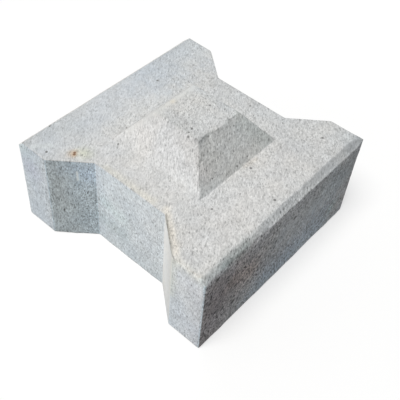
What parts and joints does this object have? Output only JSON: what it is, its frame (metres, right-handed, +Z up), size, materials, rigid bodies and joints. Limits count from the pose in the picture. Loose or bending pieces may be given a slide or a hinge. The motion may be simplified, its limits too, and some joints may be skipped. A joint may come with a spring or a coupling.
{
  "type": "interlocking concrete block",
  "caption": "I-shaped interlocking concrete block with trapezoidal side notches, bevelled long edges and a low truncated pyramid on its top, for paving banks and slopes.",
  "frame": {"origin": "middle of the underside, on the surface that the block lies on", "axes": "+Z up through the pyramid; X along the two long bevelled faces; Y from one flange across the waist to the other; the side notches open towards -X and +X"},
  "size_m": [0.4, 0.4, 0.24],
  "materials": {
    "concrete": "matt cast concrete, fine speckled grain with small pores"
  },
  "bodies": {
    "root": {"concrete_block": "concrete"}
  },
  "joints": []
}
